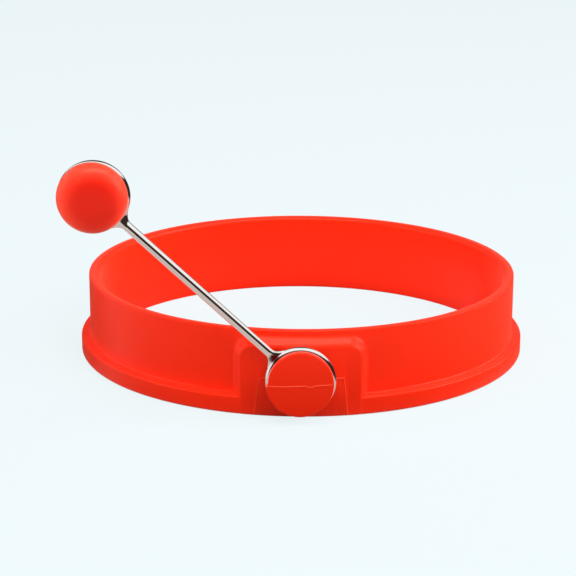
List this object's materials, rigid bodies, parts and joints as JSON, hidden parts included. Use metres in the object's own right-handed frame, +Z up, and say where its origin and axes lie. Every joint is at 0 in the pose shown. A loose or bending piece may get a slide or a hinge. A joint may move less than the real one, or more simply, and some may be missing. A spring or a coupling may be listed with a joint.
{
  "type": "egg ring",
  "caption": "Round silicone egg ring with a flanged foot and a folding steel wire handle that ends in a round silicone grip.",
  "frame": {"origin": "on the surface the ring stands on, under the middle of the whole object's box, 3.35 mm in front of the band's own axis", "axes": "+Z up along the band's axis, -Y towards the stud and the handle, +X to the right as seen from the stud's side"},
  "size_m": [0.1046, 0.1112, 0.0565],
  "materials": {
    "red_silicone": "satin",
    "grip_silicone": "satin",
    "polished_steel": "polished"
  },
  "bodies": {
    "ring": {"silicone_ring": "red_silicone"},
    "handle": {"pivot_loop": "polished_steel", "handle_rod": "polished_steel", "grip_loop": "polished_steel", "grip_button": "grip_silicone"}
  },
  "joints": [
    {"name": "handle_fold", "type": "hinge", "parent": "ring", "child": "handle", "pos_m": [0, -0.05035, 0.0088], "axis": [0, 1, 0], "range_deg": [-43, 137]}
  ]
}
